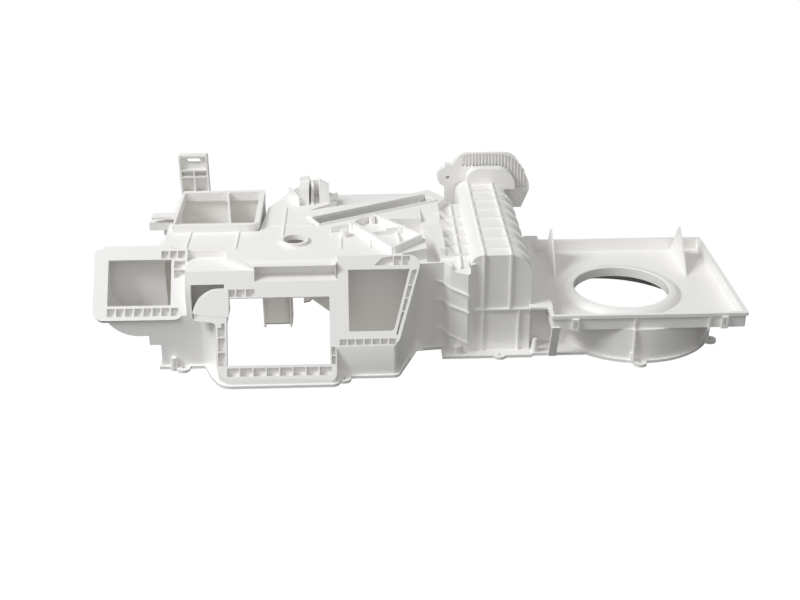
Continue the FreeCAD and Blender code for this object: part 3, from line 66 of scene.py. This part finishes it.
# Places below are in the drawing's millimetres: x across, y to the back, z up from the parting face.
drawing = {
    "middle": (67.8, 168.9), "toMetres": 0.001, "slopeFoot": (0, 1.0, 10.0), "slope": 60.0,
    "slotCorner": (-52.0, 177.5, 127.0), "slotTurn": 27.3,
}
# The case's copy: how it is merged, rounded and cut. Radii are metres, boxes are (x, y, z) spans.
shell = {
    "weld": 0.00002, "digits": 7, "flat": 1.0, "edge": 0.0007, "edgeSteps": 2, "edgeAngle": 34,
    "cuts": {
        "ductFront": ((-188, -126.9), (158.9, 163.6), (-1, 80)),
        "ductSide": ((-140, -124.2), (163.0, 279.2), (-1, 60)),
        "plateBack": ((128.5, 228), (334.4, 344), (114.6, 170)),
        "rearLeft": ((-230.4, -224.5), (166, 274.2), (114, 140)),
        "rearBackLeft": ((-230.4, -177.2), (269.5, 274.2), (114, 140)),
        "rearBackRight": ((-172.2, -133.5), (269.5, 274.2), (114, 140)),
        "rearRight": ((-137.5, -133.5), (168.2, 274.2), (114, 140)),
    },
    "slotEnd": ((150.5, 161.6), (1.2, 22.2), (-6.0, 6.0)),
}
# The round seal plate: a sunken field, ridges that stand on it, and how deep the case is cut for both.
sealPlate = {
    "field": [(134.0, 147), (136.5, 161.5), (141.2, 163.1), (151, 163.9), (187, 163.7), (198.4, 160.3),
              (208.8, 153.0), (216.4, 143.8), (221.5, 132.9), (223.4, 123.3), (223.7, 116.2), (190, 116.2),
              (190, 128), (152, 138), (150, 147)],
    "skyline": [(121, 147), (125.9, 155.3), (133.2, 161.5), (140.7, 164.5), (151, 165.4), (187, 165.2),
                (199.1, 161.6), (209.9, 154.2), (217.7, 144.6), (223, 133.4), (225, 123.5), (225.4, 114.9)],
    "cut": (328.1, 333.4), "fieldDepth": (332.8, 334.3), "ridgeDepth": (329.9, 333.3), "topGap": 0.85,
    "firstRidge": 139.6, "ridgePitch": 4.4, "ridgeCount": 19, "ridgeWide": 1.7,
    "shortUntil": 152, "shortFoot": 146, "longFoot": 117, "edge": 0.0003,
}
# The lips round the heater slot and the closed pocket below it, which is wider than the slot at the back.
# Spans run along the slot, across it, and up from the skin.
slotRim = {
    "edge": 0.0009,
    "walls": {
        "backLip": ((-4.0, 166.0), (22.6, 34.0), (-1.2, 2.6)),
        "bead": ((-2.0, 165.0), (22.2, 24.6), (-1.2, 4.0)),
        "frontLip": ((0.0, 162.6), (-1.4, 0.9), (-1.2, 2.8)),
        "leftLip": ((-4.0, -0.6), (-1.0, 24.0), (-1.2, 2.2)),
        "rightLip": ((161.4, 166.0), (-1.4, 24.0), (-1.2, 3.4)),
        "front": ((-3.0, 164.0), (-2.4, -0.6), (-88.0, -1.6)),
        "back": ((-3.0, 150.0), (34.2, 36.0), (-88.0, -1.6)),
        "left": ((-3.0, -1.0), (-2.4, 36.0), (-88.0, -1.6)),
        "right": ((162.4, 164.0), (-2.4, 25.5), (-88.0, -1.6)),
        "nearBack": ((150.0, 164.0), (24.0, 25.5), (-88.0, -1.6)),
        "side": ((148.4, 150.0), (24.0, 36.0), (-88.0, -1.6)),
        "foot": ((-3.0, 164.0), (-2.4, 36.0), (-90.0, -88.0)),
    },
}
# The round flange at the middle outlet's upper left corner, drawn on the slanted face.
nookFlange = {
    "outline": [(-156.6, 105.4), (-169.5, 104.8), (-175.0, 103.2), (-179.5, 101.2), (-184.2, 98.6),
                (-188.1, 95.7), (-191.3, 92.4), (-193.9, 88.7), (-196.2, 84.6), (-197.9, 80.0),
                (-198.6, 76.5), (-190, 74.5), (-176, 72.5), (-156.6, 71.0)],
    "depth": (-2.4, 0.35), "edge": 0.0004,
}
# Small walls that close or stiffen the case: boxes as (x, y, z) spans, and the scroll's web from the side.
smallWalls = {
    "edge": 0.0004,
    "boxes": {
        "channelLeft": ((-127.0, -124.4), (150.0, 162.4), (1.0, 124.6)),
        "channelRight": ((-94.2, -91.7), (150.0, 160.6), (1.0, 124.6)),
        "linkWall": ((217.5, 248.0), (92.1, 94.3), (3.0, 43.6)),
    },
    "web": [(41.8, 44.0), (38.6, 44.0), (34.6, 8.0), (34.6, 3.0), (44.0, 3.0), (44.0, 44.0)],
    "webSpan": (316.3, 318.9),
}


class Socket:
    # A shader socket that takes part in Python sums, and adds the Math nodes itself.
    def __init__(self, shader, plug):
        self.shader = shader
        self.plug = plug

    def math(self, operation, other, swapped=False):
        values = [other, self] if swapped else [self, other]
        return self.shader.node("ShaderNodeMath", {"operation": operation}, values)

    def __add__(self, other):
        return self.math("ADD", other)

    def __radd__(self, other):
        return self.math("ADD", other, True)

    def __sub__(self, other):
        return self.math("SUBTRACT", other)

    def __rsub__(self, other):
        return self.math("SUBTRACT", other, True)

    def __mul__(self, other):
        return self.math("MULTIPLY", other)

    def __rmul__(self, other):
        return self.math("MULTIPLY", other, True)


class Shader:
    # The node tree of a material or of the world, with one method for every kind of node.
    def __init__(self, owner):
        owner.use_nodes = True
        self.tree = owner.node_tree
        self.tree.nodes.clear()

    def node(self, kind, settings=None, values=None, output=0):
        made = self.tree.nodes.new(kind)
        for key, value in (settings or {}).items():
            setattr(made, key, value)
        pairs = values.items() if isinstance(values, dict) else enumerate(values or [])
        for key, value in pairs:
            if isinstance(value, Socket):
                self.tree.links.new(value.plug, made.inputs[key])
            else:
                made.inputs[key].default_value = value
        return Socket(self, made.outputs[output]) if len(made.outputs) else None


def whitePlastic():
    # Satin moulded plastic: a fine skin texture, faint flow marks and a slightly warmer tone in places.
    look = plasticLook
    material = bpy.data.materials.new("whitePlastic")
    shader = Shader(material)
    place = shader.node("ShaderNodeTexCoord", output=3)
    flow, grain, cloud = (
        shader.node("ShaderNodeTexNoise", values={"Vector": place, "Scale": scale, "Detail": detail})
        for scale, detail in (look["flow"], look["grain"], look["cloud"]))
    lowest, highest = look["warmSpan"]
    tone = shader.node("ShaderNodeMapRange",
                       values={0: flow, 1: lowest, 2: highest, 3: 0.0, 4: look["mostWarm"]})
    color = shader.node("ShaderNodeMix", {"data_type": "RGBA"},
                        {0: tone, 6: (*look["base"], 1), 7: (*look["warm"], 1)}, 2)
    rough = look["roughness"] + (cloud - 0.5) * look["cloudRough"] + (grain - 0.5) * look["grainRough"]
    height = grain * look["grainBump"] + cloud * look["cloudBump"]
    bump = shader.node("ShaderNodeBump", values={"Strength": look["bump"], "Distance": look["bumpDeep"],
                                                 "Height": height})
    plastic = shader.node("ShaderNodeBsdfPrincipled",
                          values={"Base Color": color, "Roughness": rough, "Normal": bump, "IOR": look["ior"],
                                  "Specular IOR Level": look["specular"]})
    shader.node("ShaderNodeOutputMaterial", values=[plastic])
    return material


def addObject(name, data):
    thing = bpy.data.objects.new(name, data)
    bpy.context.scene.collection.objects.link(thing)
    return thing


def meshObject(name, mesh):
    data = bpy.data.meshes.new(name)
    mesh.to_mesh(data)
    mesh.free()
    return addObject(name, data)


def planeFor(base, across, up):
    # From a flat sketch to the case: sketch x runs across, sketch y runs up, and z out of the sketch.
    across, up = Vector(across).normalized(), Vector(up).normalized()
    turn = Matrix((across, up, across.cross(up))).transposed().to_4x4()
    middle = drawing["middle"]
    shift = Matrix.Translation((base[0] - middle[0], base[1] - middle[1], base[2]))
    return Matrix.Scale(drawing["toMetres"], 4) @ shift @ turn


slope, slotTurn = math.radians(drawing["slope"]), math.radians(drawing["slotTurn"])
planFace = planeFor((0, 0, 0), (1, 0, 0), (0, 1, 0))
frontFace = planeFor((0, 0, 0), (1, 0, 0), (0, 0, 1))  # depth is counted forwards, so it is -y
sideFace = planeFor((0, 0, 0), (0, 1, 0), (0, 0, 1))
slopeFace = planeFor(drawing["slopeFoot"], (1, 0, 0), (0, math.cos(slope), math.sin(slope)))
slotFace = planeFor(drawing["slotCorner"], (math.cos(slotTurn), math.sin(slotTurn), 0),
                    (-math.sin(slotTurn), math.cos(slotTurn), 0))


def addSlab(mesh, plane, corners, low, high):
    # A flat outline pushed out between two depths.
    base = mesh.faces.new([mesh.verts.new((x, y, low)) for x, y in corners])
    grown = bmesh.ops.extrude_face_region(mesh, geom=[base])["geom"]
    far = [piece for piece in grown if isinstance(piece, bmesh.types.BMVert)]
    bmesh.ops.translate(mesh, verts=far, vec=(0, 0, high - low))
    bmesh.ops.transform(mesh, matrix=plane, verts=list({*base.verts, *far}))


def addBox(mesh, plane, x, y, z):
    addSlab(mesh, plane, [(x[0], y[0]), (x[1], y[0]), (x[1], y[1]), (x[0], y[1])], *z)


def makePiece(name, mesh, material, edge):
    # Every piece gets the small radius that a mould leaves on an edge.
    piece = meshObject(name, mesh)
    piece.data.materials.append(material)
    for face in piece.data.polygons:
        face.use_smooth = True
    bevel = piece.modifiers.new("edges", "BEVEL")
    bevel.width = edge
    bevel.segments = shell["edgeSteps"]
    bevel.limit_method = "ANGLE"
    bevel.angle_limit = math.radians(shell["edgeAngle"])
    bevel.harden_normals = True
    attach(piece, "root")
    return piece


def putInOrder(mesh, data):
    # The cut gives its faces in any order, so they are laid down again by their places.
    places = [tuple(round(value, shell["digits"]) for value in vertex.co) for vertex in data.vertices]
    outlines = []
    for face in data.polygons:
        corners = [places[number] for number in face.vertices]
        first = corners.index(min(corners))
        outlines.append(tuple(corners[first:] + corners[:first]))
    mesh.clear()
    made = {place: mesh.verts.new(place) for place in sorted(set(places))}
    for corners in sorted(set(outlines)):
        if len(set(corners)) > 2:
            mesh.faces.new([made[place] for place in dict.fromkeys(corners)])


def cutCase(mesh):
    # Opens the rear outlet up to its thin walls, makes room for the seal plate's field, lengthens the
    # heater slot, and clears the view through the middle outlet.
    data = bpy.data.meshes.new("uncut")
    mesh.to_mesh(data)
    whole = addObject("uncut", data)
    tools = bmesh.new()
    for spans in shell["cuts"].values():
        addBox(tools, planFace, *spans)
    near, deep = sealPlate["cut"]
    addSlab(tools, frontFace, sealPlate["field"], -deep, -near)
    addBox(tools, slotFace, *shell["slotEnd"])
    bmesh.ops.recalc_face_normals(tools, faces=tools.faces)
    tool = meshObject("cutTools", tools)
    cut = whole.modifiers.new("cut", "BOOLEAN")
    cut.operation = "DIFFERENCE"
    cut.solver = "EXACT"
    cut.use_self = True
    cut.object = tool
    bpy.context.view_layer.update()
    evaluated = whole.evaluated_get(bpy.context.evaluated_depsgraph_get())
    putInOrder(mesh, bpy.data.meshes.new_from_object(evaluated))
    bpy.data.objects.remove(whole)
    bpy.data.objects.remove(tool)


def makeShell(material):
    mesh = bmesh.new()
    mesh.from_mesh(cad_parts["housing"].data)
    bmesh.ops.remove_doubles(mesh, verts=mesh.verts, dist=shell["weld"])
    cutCase(mesh)
    bmesh.ops.remove_doubles(mesh, verts=mesh.verts, dist=shell["weld"])
    bmesh.ops.dissolve_limit(mesh, angle_limit=math.radians(shell["flat"]), verts=mesh.verts,
                             edges=mesh.edges, delimit={"NORMAL"})
    piece = makePiece("caseShell", mesh, material, shell["edge"])
    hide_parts("housing")


def heightAt(line, x):
    # The height of a line of points at x.
    for (x0, z0), (x1, z1) in zip(line, line[1:]):
        if x0 <= x <= x1:
            return z0 + (z1 - z0) * (x - x0) / (x1 - x0)
    return line[-1][1]


def makeSealPlate(material):
    facts = sealPlate
    mesh = bmesh.new()
    near, deep = facts["fieldDepth"]
    addSlab(mesh, frontFace, facts["field"], -deep, -near)
    near, deep = facts["ridgeDepth"]
    for number in range(facts["ridgeCount"]):
        left = facts["firstRidge"] + number * facts["ridgePitch"] - facts["ridgeWide"] / 2
        right = left + facts["ridgeWide"]
        foot = facts["shortFoot"] if right < facts["shortUntil"] else facts["longFoot"]
        leftTop, rightTop = (heightAt(facts["skyline"], x) - facts["topGap"] for x in (left, right))
        ridge = [(left, foot), (right, foot), (right, rightTop), (left, leftTop)]
        addSlab(mesh, frontFace, ridge, -deep, -near)
    bmesh.ops.recalc_face_normals(mesh, faces=mesh.faces)
    makePiece("sealPlateRidges", mesh, material, facts["edge"])


def makeSlotRim(material):
    mesh = bmesh.new()
    for spans in slotRim["walls"].values():
        addBox(mesh, slotFace, *spans)
    bmesh.ops.recalc_face_normals(mesh, faces=mesh.faces)
    makePiece("slotRim", mesh, material, slotRim["edge"])


def makeNookFlange(material):
    mesh = bmesh.new()
    addSlab(mesh, slopeFace, nookFlange["outline"], *nookFlange["depth"])
    bmesh.ops.recalc_face_normals(mesh, faces=mesh.faces)
    makePiece("nookFlange", mesh, material, nookFlange["edge"])


def makeSmallWalls(material):
    mesh = bmesh.new()
    for spans in smallWalls["boxes"].values():
        addBox(mesh, planFace, *spans)
    addSlab(mesh, sideFace, smallWalls["web"], *smallWalls["webSpan"])
    bmesh.ops.recalc_face_normals(mesh, faces=mesh.faces)
    makePiece("smallWalls", mesh, material, smallWalls["edge"])


def makeStage():
    mesh = bmesh.new()
    bmesh.ops.create_grid(mesh, x_segments=1, y_segments=1, size=stage["floorSize"] / 2)
    floor = meshObject("floor", mesh)
    material = bpy.data.materials.new("paleFloor")
    shader = Shader(material)
    seen = shader.node("ShaderNodeLightPath")
    pale = shader.node("ShaderNodeBsdfDiffuse", values={"Color": (*stage["floorColor"], 1)})
    white = shader.node("ShaderNodeEmission", values={"Color": (1, 1, 1, 1), "Strength": stage["whiteLevel"]})
    mixed = shader.node("ShaderNodeMixShader", values=[seen * stage["seenWhite"], pale, white])
    shader.node("ShaderNodeOutputMaterial", values=[mixed])
    floor.data.materials.append(material)
    world = bpy.data.worlds.new("studio")
    bpy.context.scene.world = world
    sky = Shader(world)
    lit = sky.node("ShaderNodeBackground", values=[(1, 1, 1, 1), stage["skyLight"]])
    clear = sky.node("ShaderNodeBackground", values=[(1, 1, 1, 1), 1.0])
    mixed = sky.node("ShaderNodeMixShader", values=[sky.node("ShaderNodeLightPath"), lit, clear])
    sky.node("ShaderNodeOutputWorld", values=[mixed])


def makeLight(name, facts):
    lamp = bpy.data.lights.new(name, "AREA")
    lamp.shape = "RECTANGLE" if "deep" in facts else "DISK"
    lamp.size = facts["size"]
    lamp.energy = facts["power"]
    lamp.color = facts["tint"]
    piece = addObject(name, lamp)
    piece.location = facts["place"]
    return piece


def makeLights():
    for name, facts in lights.items():
        aim = Vector(stage["lampAim"]) - Vector(facts["place"])
        makeLight(name, facts).rotation_euler = aim.to_track_quat("-Z", "Y").to_euler()
    piece = makeLight("glow", glow)
    piece.data.size_y = glow["deep"]
    piece.rotation_euler = (math.pi, 0, 0)
    piece.visible_camera = False


def makeCamera():
    data = bpy.data.cameras.new("photoCamera")
    data.sensor_width = camera["sensor"]
    data.lens = camera["focalPixels"] / camera["photoWidth"] * camera["sensor"]
    eye = addObject("photoCamera", data)
    turn = (Matrix.Rotation(math.radians(-camera["right"]), 4, "Z")
            @ Matrix.Rotation(math.radians(90 - camera["down"]), 4, "X")
            @ Matrix.Rotation(math.radians(camera["roll"]), 4, "Z"))
    eye.matrix_world = Matrix.Translation(camera["eye"]) @ turn
    bpy.context.scene.camera = eye


makeCamera()
makeStage()
makeLights()
print("camera, floor and lights ready")

plastic = whitePlastic()
makeShell(plastic)
print("case dressed")
makeSealPlate(plastic)
makeSlotRim(plastic)
makeNookFlange(plastic)
makeSmallWalls(plastic)
print("seal plate, slot rim, flange and walls added")

bpy.context.scene.view_settings.view_transform = "Standard"
